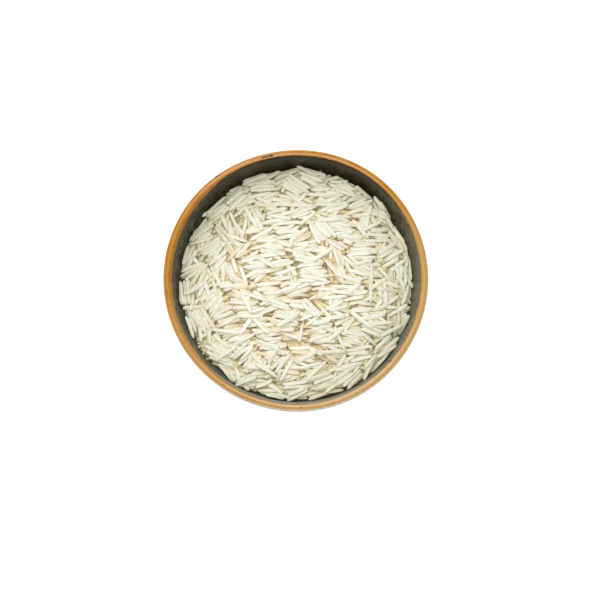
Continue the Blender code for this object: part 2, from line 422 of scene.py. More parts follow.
@dataclass(frozen=True)
class GrainFinish:
    """The look of one kind of grain: glassy middle, pale edges, chalky belly, painted warm shade where it
    is sunk, and painted shade from the bowl's wall.
    """

    pale: Colour
    deep: Colour
    streak: Colour
    heart: Colour = (0.765, 0.730, 0.560)
    seam: Colour = (0.730, 0.655, 0.435)
    chalk: Colour = (0.965, 0.945, 0.835)
    sunk_shade: Colour = (0.800, 0.670, 0.390)
    shade: Colour = (0.660, 0.665, 0.490)
    heart_share: float = 0.68
    edge_share: float = 0.90
    chalk_share: float = 0.60
    seam_share: float = 0.30
    shade_share: float = 0.76
    sunk_shade_share: float = 0.92
    depth_of_light: float = 0.42
    reach_of_light: float = 0.0010
    light_radii: Colour = (1.0, 1.0, 1.0)
    roughness: float = 0.46
    ior: float = 1.42
    groove_depth: float = 0.00004
    groove_share: float = 0.4

    def material(self, name: str) -> bpy.types.Material:
        """Mixes the grain's surface.

        Args:
            name: The material's name.

        Returns:
            The finished material.
        """
        desk = NodeDesk(name)
        place = desk.vector_of("grain_place")
        edge = desk.value_of("grain_edge")
        cloud = desk.noise(desk.stretched(place, (0.55, 1.0, 1.0)), 0.9, 3.0)
        share = desk.sum_of("ADD", desk.value_of("grain_tone"), desk.between(cloud, 0.2, 0.8, -0.25, 0.25))
        body = desk.blend(desk.between(share, 0.0, 1.0), self.pale, self.deep)
        body = desk.blend(desk.between(edge, 0.12, 0.46, self.heart_share, 0.0), body, self.heart)
        lines = desk.noise(desk.stretched(place, (0.12, 2.6, 2.6)), 1.5, 2.0)
        body = desk.blend(desk.between(lines, 0.50, 0.66, 0.0, 0.6), body, self.streak)
        body = desk.blend(desk.between(lines, 0.30, 0.40, self.seam_share, 0.0), body, self.seam)
        body = desk.blend(desk.between(edge, 0.32, 0.62, 0.0, self.edge_share), body, self.streak)
        white = desk.between(desk.value_of("grain_chalk"), 0.35, 0.75, 0.0, self.chalk_share)
        white = desk.sum_of("MULTIPLY", white, desk.between(cloud, 0.3, 0.6, 0.35, 1.0))
        body = desk.blend(white, body, self.chalk)
        # Painted warm shade where the grain lies sunk among the others.
        sunk = desk.between(desk.value_of("grain_sunk"), 0.10, 0.72, 0.0, self.sunk_shade_share)
        body = desk.blend(sunk, body, self.sunk_shade)
        shade = desk.between(desk.value_of("grain_shade"), 0.0, 1.0, 0.0, self.shade_share)
        desk.feed(desk.shader.inputs["Base Color"], desk.blend(shade, body, self.shade))
        shader = desk.shader
        shader.inputs["Roughness"].default_value = self.roughness
        shader.inputs["IOR"].default_value = self.ior
        shader.inputs["Subsurface Weight"].default_value = self.depth_of_light
        shader.inputs["Subsurface Radius"].default_value = self.light_radii
        shader.inputs["Subsurface Scale"].default_value = self.reach_of_light
        desk.relief(lines, self.groove_depth, self.groove_share)
        return desk.material


@dataclass(frozen=True)
class CoreFinish:
    """Painted warm shade for the rice core that shows between grains, deep in the rice."""

    warm: Colour = (0.970, 0.870, 0.560)
    dim: Colour = (0.940, 0.790, 0.430)
    cloud_blobs: float = 520.0
    roughness: float = 0.7
    relief_depth: float = 0.0003
    relief_share: float = 0.6

    def material(self) -> bpy.types.Material:
        """Mixes the core's surface.

        Returns:
            The finished material.
        """
        desk = NodeDesk("rice_depth")
        cloud = desk.noise(desk.place(), self.cloud_blobs)
        # Painted warm shade, as rice looks deep between the grains.
        colour = desk.blend(desk.between(cloud, 0.35, 0.65), self.warm, self.dim)
        desk.feed(desk.shader.inputs["Base Color"], colour)
        desk.shader.inputs["Roughness"].default_value = self.roughness
        desk.relief(cloud, self.relief_depth, self.relief_share)
        return desk.material


@dataclass(frozen=True)
class GlazeSkip:
    """A small dark skip in the glaze: its turn from +X, then its place and size in millimetres."""

    degrees: float
    beside: float
    half_length: float
    half_width: float


@dataclass
class StonewareBowl:
    """The turned bowl: a round lip, a thin wall and a foot ring."""

    rim_diameter: float = 0.095
    height: float = 0.047
    lip_thickness: float = 0.003
    inner_depth: float = 0.040
    outer_depth: float = 0.045
    wall_curve: float = 2.3
    foot_radius: float = 0.025
    foot_width: float = 0.0035
    foot_chamfer: float = 0.0005
    foot_recess: float = 0.0022
    segments: int = 480
    wall_stations: int = 46
    lip_stations: int = 26
    throwing_step: float = 0.0026
    throwing_depth: float = 0.00005
    wobble: float = 0.00016
    glaze_end: float = 0.0024
    glaze_lip: float = 0.00016
    glaze_run: float = 0.0050
    run_reach: float = math.radians(38)
    narrow_turn: float = math.radians(48)
    highlight_turn: float = math.radians(-48)
    back_highlight_turn: float = math.radians(88)
    chip_depth: float = 0.00012
    edge_fade: float = 0.0008
    skips: tuple[GlazeSkip, ...] = (
        GlazeSkip(101.2, -0.05, 0.66, 0.44),
        GlazeSkip(103.4, -0.02, 2.00, 0.28),
        GlazeSkip(127.5, 1.45, 0.80, 0.62),
        GlazeSkip(318.0, -1.15, 0.50, 0.30),
        GlazeSkip(12.0, 1.75, 0.45, 0.30),
    )
    finish: StonewareGlaze = field(default_factory=StonewareGlaze)

    @property
    def outer_radius(self) -> float:
        """Radius of the lip's outer edge."""
        return self.rim_diameter / 2

    @property
    def mouth_radius(self) -> float:
        """Radius of the lip's inner edge."""
        return self.outer_radius - self.lip_thickness

    @property
    def lip_radius(self) -> float:
        """Radius of the lip's rounding."""
        return self.lip_thickness / 2

    @property
    def lip_centre(self) -> float:
        """Height of the middle of the round lip."""
        return self.height - self.lip_radius

    @property
    def inner_fall(self) -> float:
        """Depth of the inner floor below the lip's middle."""
        return self.inner_depth - self.lip_radius

    def wall_radius(self, depth: Array, mouth: float, full: float) -> Array:
        """Radius of a wall that is steep at the mouth and round below.

        Args:
            depth: Depths below the lip's middle.
            mouth: The wall's radius at the lip.
            full: The depth at which the wall meets the axis.

        Returns:
            The radii.
        """
        share = np.clip(np.asarray(depth) / full, 0.0, 1.0)
        return mouth * np.sqrt(1.0 - share**self.wall_curve)

    def inner_radius(self, z: Array) -> Array:
        """Radius of the inner wall at a height."""
        return self.wall_radius(self.lip_centre - np.asarray(z), self.mouth_radius, self.inner_fall)

    def inner_height(self, radius: Array) -> Array:
        """Height of the inner wall at a distance from the axis.

        Args:
            radius: Distances from the axis.

        Returns:
            Heights, and the lip's own beyond the mouth.
        """
        share = np.clip(np.asarray(radius) / self.mouth_radius, 0.0, 1.0)
        return self.lip_centre - self.inner_fall * (1.0 - share**2) ** (1.0 / self.wall_curve)

    def inner_wall(self) -> Array:
        """The inner profile, from the middle of the floor up to the lip.

        Returns:
            Rows of (radius, height).
        """
        full = self.inner_fall
        depth = full * np.sin(0.5 * math.pi * np.arange(self.wall_stations, 0, -1) / self.wall_stations)
        return np.column_stack([self.wall_radius(depth, self.mouth_radius, full), self.lip_centre - depth])

    def lip(self) -> Array:
        """The profile over the round lip, from its inner side to its outer side.

        Returns:
            Rows of (radius, height).
        """
        angle = math.pi * (1.0 - np.arange(self.lip_stations + 1) / self.lip_stations)
        out = self.mouth_radius + self.lip_radius + self.lip_radius * np.cos(angle)
        return np.column_stack([out, self.lip_centre + self.lip_radius * np.sin(angle)])

    def outer_wall(self) -> Array:
        """The outer profile, from the lip down to the foot.

        Returns:
            Rows of (radius, height).
        """
        full = self.outer_depth - self.lip_radius
        last = (1.0 - (self.foot_radius / self.outer_radius) ** 2) ** (1.0 / self.wall_curve)
        quarter = 0.5 * math.pi * np.arange(1, self.wall_stations + 1) / self.wall_stations
        depth = last * full * np.sin(quarter)
        return np.column_stack([self.wall_radius(depth, self.outer_radius, full), self.lip_centre - depth])

    def foot(self) -> Array:
        """The profile down the foot ring, under it and to the middle of its recess.

        Returns:
            Rows of (radius, height).
        """
        top = self.outer_wall()[-1, 1]
        side = np.linspace(top, self.foot_chamfer, 22)[1:]
        ring_side = np.column_stack([np.full_like(side, self.foot_radius - self.foot_chamfer / 2), side])
        glazed = (side > self.glaze_end) * np.clip((top - side) / MM, 0.0, 1.0)
        ring_side[:, 0] += self.glaze_lip * glazed
        inside = self.foot_radius - self.foot_width
        chamfer = self.foot_chamfer
        under = [
            (self.foot_radius - 0.8 * chamfer, 0.35 * chamfer),
            (self.foot_radius - 1.5 * chamfer, 0.0),
            (inside + 0.4 * chamfer, 0.0),
            (inside, 0.2 * chamfer),
            (inside - 0.6 * chamfer, 0.6 * self.foot_recess),
            (inside - 1.6 * chamfer, self.foot_recess),
        ]
        floor = [(radius, self.foot_recess) for radius in np.linspace(inside - 0.0015, 0.0, 14)]
        return np.vstack([ring_side, under, floor])

    def band_place(self, along: Array, turn: Array) -> Array:
        """Place on the lip's ochre band: -1 at its inner edge, 1 at its outer edge.

        Args:
            along: Distances from the lip's crest, positive towards the outside.
            turn: Angles round the bowl, from +X.

        Returns:
            Places, past 1 either way off the band.
        """
        from_left = np.arccos(np.clip(-np.cos(turn + 0.05), -1.0, 1.0))
        inner = 1.12 + 0.10 * np.cos(turn) + 0.24 * np.sin(turn) + 0.30 * np.cos(2.0 * turn)
        inner = inner + self.glaze_run / MM * np.exp(-((from_left / self.run_reach) ** 4))
        inner = inner - 0.24 * np.exp((np.cos(turn - self.narrow_turn) - 1.0) / 0.10)
        inner = MM * (inner + 0.07 * np.sin(5.0 * turn + 1.0))
        outer = 2.35 + 0.40 * np.cos(turn + 0.9) + 0.15 * np.cos(2.0 * turn + 0.6)
        outer = MM * (outer + 0.10 * np.sin(7.0 * turn))
        return np.where(along < 0.0, along / inner, along / outer)

    def chips(self, along: Array, turn: Array) -> Array:
        """Small dark skips in the glaze on the lip.

        Args:
            along: Distances from the lip's crest, positive towards the outside.
            turn: Angles round the bowl, from +X.

        Returns:
            How far each point lies in a skip, 0 to 1.
        """
        found = np.zeros_like(turn)
        for skip in self.skips:
            round_rim = (turn - math.radians(skip.degrees) + math.pi) % (2.0 * math.pi) - math.pi
            along_rim = round_rim * self.outer_radius / (skip.half_length * MM)
            across = (along - skip.beside * MM) / (skip.half_width * MM)
            found = np.maximum(found, np.clip(1.6 - 1.2 * np.hypot(along_rim, across), 0.0, 1.0))
        return found

    def make(self) -> bpy.types.Object:
        """Turns the bowl and glazes it.

        Returns:
            The finished piece.
        """
        inner, lip, outer, foot = self.inner_wall(), self.lip(), self.outer_wall(), self.foot()
        profile = np.vstack([inner, lip, outer, foot])
        steps = np.hypot(*np.diff(profile, axis=0).T)
        along = np.concatenate([[0.0], np.cumsum(steps)])
        along -= along[len(inner) + self.lip_stations // 2]
        turn = 2.0 * math.pi * np.arange(self.segments) / self.segments
        rings = profile[1:-1]
        s, phi = np.meshgrid(along[1:-1], turn, indexing="ij")
        radius = np.repeat(rings[:, :1], self.segments, axis=1)
        z = np.repeat(rings[:, 1:], self.segments, axis=1)

        high = np.clip(z / self.height, 0.0, 1.0)
        radius = radius * (1.0 + self.wobble / self.outer_radius * high * np.sin(3.0 * phi - 0.75))
        radius += 0.4 * self.wobble * high**3 * np.sin(5.0 * phi + 2.0)
        z = z + 0.7 * self.wobble * high**4 * np.sin(3.0 * phi + 0.4)
        free = np.clip((np.abs(s) - 0.004) / 0.006, 0.0, 1.0) * np.clip((z - 0.009) / 0.004, 0.0, 1.0)
        spiral = 2.0 * math.pi * (np.abs(s) / self.throwing_step) + phi
        radius += self.throwing_depth * free * np.sin(spiral) * (1.0 + 0.5 * np.sin(3.0 * phi + 1.0))
        chipped = self.chips(s, phi)
        radius -= self.chip_depth * chipped * np.sign(s)
        z = z - self.chip_depth * chipped

        points = np.stack([radius * np.cos(phi), radius * np.sin(phi), z], axis=-1).reshape(-1, 3)
        ends = np.array([[0.0, 0.0, profile[0, 1]], [0.0, 0.0, profile[-1, 1]]])
        mesh = self.skin(len(rings), np.vstack([points, ends]))
        band = self.band_place(s, phi)
        add_values(mesh, "lip_place", np.append(np.clip(band, -3.0, 3.0), [3.0, 3.0]))
        add_values(mesh, "chipped", np.append(chipped, [0.0, 0.0]))
        add_values(mesh, "bare", np.append(self.bare_clay(s, phi, radius, z), [0.0, 0.0]))
        add_values(mesh, "glaze_painted_light", np.append(self.painted_front_light(s, phi), [0.0, 0.0]))
        add_values(mesh, "lip_painted_highlight", np.append(self.painted_lip_highlight(s, phi), [0.0, 0.0]))
        mesh.shade_smooth()
        mesh.materials.append(self.finish.material("stoneware_inside", 0.40, 1.36))
        mesh.materials.append(self.finish.material("stoneware_lip", 0.24, 1.50))
        mesh.materials.append(self.finish.material("stoneware_outside", 0.30, 1.50))
        on_lip = np.abs(band)[:-1].ravel() < 1.0
        walls = np.where(s[:-1].ravel() > 0.0, 2, 0)
        caps = np.repeat([0, 2], self.segments)
        slots = np.append(np.where(on_lip, 1, walls), caps).astype(np.int32)
        mesh.polygons.foreach_set("material_index", slots)
        return add_piece("bowl_glazed", mesh, "bowl")

    def bare_clay(self, along: Array, turn: Array, radius: Array, z: Array) -> Array:
        """Where the foot is left without glaze.

        Args:
            along: Distances from the lip's crest, positive towards the outside.
            turn: Angles round the bowl, from +X.
            radius: The points' distances from the axis.
            z: The points' heights.

        Returns:
            Shares from 0 to 1.
        """
        recess = self.foot_radius - self.foot_width - MM
        low = self.glaze_end - z + 0.0003 * np.sin(4.0 * turn)
        bare = np.clip(0.5 + low / self.edge_fade, 0.0, 1.0)
        bare *= np.clip(0.5 + (radius - recess) / self.edge_fade, 0.0, 1.0)
        return bare * (along > 0.0)

    def painted_front_light(self, along: Array, turn: Array) -> Array:
        """Where the inner wall gets painted light and painted reflection of the rice, most of all at the
        front.

        Args:
            along: Distances from the lip's crest, positive towards the outside.
            turn: Angles round the bowl, from +X.

        Returns:
            Shares from 0 to 1.
        """
        # Painted light and reflection: strongest at the front, none on the outside.
        thin = np.clip(0.62 - 0.60 * np.sin(turn) + 0.12 * np.sin(3.0 * turn + 0.7), 0.0, 1.0)
        return thin * (along < 0.0)

    def painted_lip_highlight(self, along: Array, turn: Array) -> Array:
        """Where the lip's ochre is painted paler as a highlight: at the front right, and on the outer edge
        at the back.

        Args:
            along: Distances from the lip's crest, positive towards the outside.
            turn: Angles round the bowl, from +X.

        Returns:
            Shares from 0 to 1.
        """
        # Painted highlight at the front right, where the window light catches the lip.
        pale = 0.5 + 0.5 * np.cos(turn - self.highlight_turn) + 0.12 * np.sin(4.0 * turn)
        pale = pale - 0.45 * np.exp((np.cos(turn - self.narrow_turn) - 1.0) / 0.18)
        # Painted highlight on the outer edge at the back.
        back = np.exp((np.cos(turn - self.back_highlight_turn) - 1.0) / 0.30)
        pale = pale + 0.9 * back * np.clip((along - self.edge_fade / 2) / self.edge_fade, 0.0, 1.0)
        return np.clip(pale, 0.0, 1.0)

    def skin(self, rings: int, points: Array) -> bpy.types.Mesh:
        """Joins rings of points into a closed mesh, with a point at each end.

        Args:
            rings: How many rings there are.
            points: All the rings' points, then the two end points.

        Returns:
            The mesh.
        """
        ring = np.arange(self.segments)
        after = np.roll(ring, -1)
        start = np.arange(rings - 1)[:, None] * self.segments
        low, high = start + ring, start + after
        quads = np.stack([high, low, low + self.segments, high + self.segments], axis=-1).reshape(-1, 4)
        first, last = len(points) - 2, len(points) - 1
        base = (rings - 1) * self.segments
        caps = [(first, int(a), int(b)) for a, b in zip(ring, after)]
        caps += [(last, int(base + b), int(base + a)) for a, b in zip(ring, after)]
        mesh = bpy.data.meshes.new("bowl_glazed")
        mesh.from_pydata(points.tolist(), [], [*map(tuple, quads.tolist()), *caps])
        mesh.validate()
        return mesh


@dataclass(frozen=True)
class Mound:
    """The rice's upper surface: a low uneven crown between the walls."""

    bowl: StonewareBowl
    edge_below_rim: float = 0.012
    crown: float = 0.0050
    back_rise: float = 0.0018
    unevenness: float = 0.0007
    core_sink: float = 0.0046
    wall_gap: float = 0.00035

    @property
    def edge(self) -> float:
        """Height of the surface at the wall."""
        return self.bowl.height - self.edge_below_rim

    def surface(self, x: Array, y: Array) -> Array:
        """Height of the rice's surface.

        Args:
            x: Places across.
            y: Places away from the viewer.

        Returns:
            The heights.
        """
        reach = self.bowl.inner_radius(self.edge)
        share = np.minimum((x**2 + y**2) / reach**2, 1.0)
        waves = np.sin(230.0 * x + 90.0 * y + 0.8) * np.cos(260.0 * y - 120.0 * x - 0.4)
        waves = waves + 0.7 * np.sin(420.0 * y + 200.0 * x + 2.1) * np.cos(390.0 * x - 60.0 * y + 0.5)
        heaped = self.back_rise * np.clip((y + 0.3 * x) / reach, 0.0, 1.0) ** 1.5
        return self.edge + self.crown * (1.0 - share) + heaped + self.unevenness * waves

    def ground(self, x: Array, y: Array) -> Array:
        """Height of what the first grains fall on: the core, and the bowl's wall round it."""
        wall = self.bowl.inner_height(np.hypot(x, y)) + self.wall_gap
        return np.maximum(self.surface(x, y) - self.core_sink, wall)


@dataclass
class RiceCore:
    """The body of rice under the grains, clear of the bowl all round."""

    mound: Mound
    segments: int = 128
    top_rings: int = 40
    wall_rings: int = 24
    finish: CoreFinish = field(default_factory=CoreFinish)

    def make(self) -> bpy.types.Object:
        """Builds the core and colours it.

        Returns:
            The finished piece.
        """
        bowl, gap = self.mound.bowl, self.mound.wall_gap
        turn = 2.0 * math.pi * np.arange(self.segments) / self.segments
        edge = self.mound.edge - self.mound.core_sink
        reach = float(bowl.inner_radius(edge)) - 2.0 * gap
        low = bowl.height - bowl.inner_depth + 2.0 * gap
        heights = low + (edge - low) * np.linspace(0.04, 1.0, self.wall_rings) ** 1.6
        walls = np.minimum(bowl.inner_radius(heights - gap) - 1.5 * gap, reach)
        tops = reach * (1.0 - np.arange(1, self.top_rings) / self.top_rings)
        radius = np.concatenate([walls, tops])[:, None]
        x, y = radius * np.cos(turn), radius * np.sin(turn)
        top = self.mound.surface(x, y) - self.mound.core_sink
        z = np.where(np.arange(len(radius))[:, None] < len(walls) - 1, heights[0], top)
        z[: len(walls) - 1] = heights[:-1, None]
        z[len(walls) - 1] = np.maximum(top[len(walls) - 1], heights[-2] + gap)
        middle = float(self.mound.surface(np.zeros(1), np.zeros(1))[0]) - self.mound.core_sink
        points = np.stack([x, y, z], -1).reshape(-1, 3).tolist() + [(0.0, 0.0, low), (0.0, 0.0, middle)]
        ring = list(range(self.segments))
        after = ring[1:] + ring[:1]
        faces: list[tuple[int, ...]] = []
        for level in range(len(radius) - 1):
            base, above = level * self.segments, (level + 1) * self.segments
            faces += [(base + a, base + b, above + b, above + a) for a, b in zip(ring, after)]
        last = (len(radius) - 1) * self.segments
        faces += [(len(points) - 2, b, a) for a, b in zip(ring, after)]
        faces += [(len(points) - 1, last + a, last + b) for a, b in zip(ring, after)]
        mesh = bpy.data.meshes.new("rice_core")
        mesh.from_pydata(points, [], faces)
        mesh.shade_smooth()
        mesh.materials.append(self.finish.material())
        return add_piece("rice_core", mesh, "rice")


@dataclass(frozen=True)
class GrainShape:
    """The form of a long slender grain: almost parallel sides, a blunt tip and a notched germ end."""

    length: float = 0.0087
    width: float = 0.00156
    thickness: float = 0.00100
    shortest: float = 0.0034
    longest: float = 0.0104
    broken_below: float = 0.0058
    length_spread: float = 0.11
    width_spread: float = 0.14
    taper_power: float = 5.0
    taper_tip: float = 0.64
    taper_germ: float = 0.46
    bend: float = 0.00030
    flatness: float = 2.9
    ridges: int = 4
    ridge_depth: float = 0.075
    broken_taper: float = 0.36
    tip_range: tuple[float, float] = (0.62, 1.40)
    germ_range: tuple[float, float] = (0.75, 1.45)
    swell: float = 0.05
    notch_place: float = -0.86
    notch_length: float = 0.12
    notch_depth: float = 0.16
    kink: float = 0.0001
    roll: float = 0.38
    sides: int = 16
    rings: int = 13
    plain_sides: int = 8
    plain_rings: int = 6

    def girth(self, t: Array, tip: Array | float | None = None, germ: Array | float | None = None) -> Array:
        """Share of the full width at a place along the grain.

        Args:
            t: Places from -1, the germ end, to 1, the tip.
            tip: How fast the tip tapers, if it isn't the usual.
            germ: How fast the germ end tapers, if it isn't the usual.

        Returns:
            Shares from 0 to 1.
        """
        left = np.clip(1.0 - np.abs(t) ** self.taper_power, 0.0, 1.0)
        tip = self.taper_tip if tip is None else tip
        germ = self.taper_germ if germ is None else germ
        return np.where(t < 0.0, left**germ, left**tip)


@dataclass(frozen=True)
class GrainSize:
    """How big one grain is."""

    length: float
    width: float
    thickness: float


@dataclass(frozen=True)
class Grain:
    """One laid grain: its size, the place of its middle, its turn and how far it leans."""

    size: GrainSize
    x: float
    y: float
    z: float
    yaw: float
    pitch: float


class GrainBed:
    """A height map of the rice as it is laid, grain upon grain."""

    def __init__(self, mound: Mound, shape: GrainShape, cell: float = 0.00022) -> None:
        """Starts with the bare core.

        Args:
            mound: The surface to fill up to.
            shape: The grains' form.
            cell: The map's step.
        """
        self.shape = shape
        self.cell = cell
        self.reach = mound.bowl.outer_radius
        self.count = int(2.0 * self.reach / cell)
        spots = (np.arange(self.count) + 0.5) * cell - self.reach
        across, away = np.meshgrid(spots, spots, indexing="ij")
        self.height = mound.ground(across, away)
        self.level = mound.surface(across, away)
        self.along = np.linspace(-0.95, 0.95, 17)
        self.across = np.array([-0.62, 0.0, 0.62])
        self.girth = shape.girth(self.along)
        self.belly = self.girth[:, None] * np.sqrt(1.0 - self.across**2)[None, :]

    def cells(self, x: Array, y: Array) -> tuple[Array, Array]:
        """The map's cells that hold these places.

        Args:
            x: Places across.
            y: Places away from the viewer.

        Returns:
            The cells' indices along each axis.
        """
        i = np.clip(((x + self.reach) / self.cell).astype(int), 0, self.count - 1)
        j = np.clip(((y + self.reach) / self.cell).astype(int), 0, self.count - 1)
        return i, j

    def rest(self, x: Array, y: Array, yaw: Array, size: GrainSize) -> tuple[Array, Array]:
        """Lowers a grain at several places until it lies on a support at each side of its middle.

        Args:
            x: The places tried, across.
            y: The places tried, away from the viewer.
            yaw: The grain's turn at each place.
            size: The grain's size.

        Returns:
            The height of the grain's middle and its pitch, at each place.
        """
        a = 0.5 * size.length * self.along[None, :, None]
        c = 0.5 * size.width * (self.across[None, :] * self.girth[:, None])[None]
        cos, sin = np.cos(yaw)[:, None, None], np.sin(yaw)[:, None, None]
        spot_x = x[:, None, None] + a * cos - c * sin
        spot_y = y[:, None, None] + a * sin + c * cos
        under = self.height[self.cells(spot_x, spot_y)]
        needed = (under + 0.5 * size.thickness * self.belly[None]).max(axis=2)
        places = 0.5 * size.length * self.along
        left, right = places < -1e-9, places > 1e-9
        left_place, right_place = places[left][:, None], places[right][None, :]
        left_need, right_need = needed[:, left, None], needed[:, None, right]
        span = right_place - left_place
        chord = ((left_need * right_place - right_need * left_place) / span).reshape(len(x), -1)
        best = chord.argmax(axis=1)
        rows = np.arange(len(x))
        middle = chord[rows, best]
        slope = ((right_need - left_need) / span).reshape(len(x), -1)[rows, best]
        centre = needed[:, len(places) // 2]
        up = ((needed[:, left] - centre[:, None]) / places[left]).min(axis=1)
        down = ((needed[:, right] - centre[:, None]) / places[right]).max(axis=1)
        nearer = np.where(np.abs(up) < np.abs(down), up, down)
        high = centre > middle
        return np.where(high, centre, middle), np.arctan(np.where(high, nearer, slope))

    def upper_side(self, grain: Grain, t: Array, c: Array) -> tuple[Array, Array, Array]:
        """Points on a laid grain's upper side.

        Args:
            grain: The grain.
            t: Places along it, -1 to 1.
            c: Places across it, -1 to 1.

        Returns:
            The points' places across, away from the viewer, and up.
        """
        girth = self.shape.girth(t)
        along = 0.5 * grain.size.length * t * math.cos(grain.pitch)
        side = 0.5 * grain.size.width * c * girth
        x = grain.x + along * math.cos(grain.yaw) - side * math.sin(grain.yaw)
        y = grain.y + along * math.sin(grain.yaw) + side * math.cos(grain.yaw)
        rise = 0.5 * grain.size.thickness * girth * np.sqrt(1.0 - c**2)
        return x, y, grain.z + along * math.tan(grain.pitch) + rise

    def cover(self, grain: Grain) -> None:
        """Raises the map to a laid grain's upper side.

        Args:
            grain: The grain.
        """
        t, c = np.meshgrid(np.linspace(-0.99, 0.99, 64), np.linspace(-0.96, 0.96, 17), indexing="ij")
        x, y, top = self.upper_side(grain, t, c)
        np.maximum.at(self.height, self.cells(x, y), top)

    def shows(self, grain: Grain) -> float:
        """Share of a laid grain that nothing covers by now.

        Args:
            grain: The grain.

        Returns:
            A share from 0 to 1.
        """
        t, c = np.meshgrid(np.linspace(-0.9, 0.9, 19), np.array([-0.7, 0.0, 0.7]), indexing="ij")
        x, y, top = self.upper_side(grain, t, c)
        return float((self.height[self.cells(x, y)] < top + 0.0003).mean())

    def sunk_below(self, spots: Array, block: int = 9) -> Array:
        """How far points lie below the highest grains round about.

        Args:
            spots: The points, one row each.
            block: How many of the map's cells on a side make up a neighbourhood.

        Returns:
            Depths in metres.
        """
        side = self.count // block
        capped = np.minimum(self.height, self.level)[: side * block, : side * block]
        tops = capped.reshape(side, block, side, block).max(axis=(1, 3))
        padded = np.pad(tops, 1, mode="edge")
        around = sum(padded[i : i + side, j : j + side] for i in range(3) for j in range(3)) / 9.0
        step = self.cell * block
        i = np.clip((spots[:, 0] + self.reach) / step - 0.5, 0.0, side - 1.001)
        j = np.clip((spots[:, 1] + self.reach) / step - 0.5, 0.0, side - 1.001)
        low_i, low_j = i.astype(int), j.astype(int)
        share_i, share_j = i - low_i, j - low_j
        near = around[low_i, low_j] * (1.0 - share_i) + around[low_i + 1, low_j] * share_i
        far = around[low_i, low_j + 1] * (1.0 - share_i) + around[low_i + 1, low_j + 1] * share_i
        return near * (1.0 - share_j) + far * share_j - spots[:, 2]


@dataclass(frozen=True)
class Swirl:
    """A spot in the heap where the grains lie turned from the rest."""

    x: float
    y: float
    reach: float
    turn: float


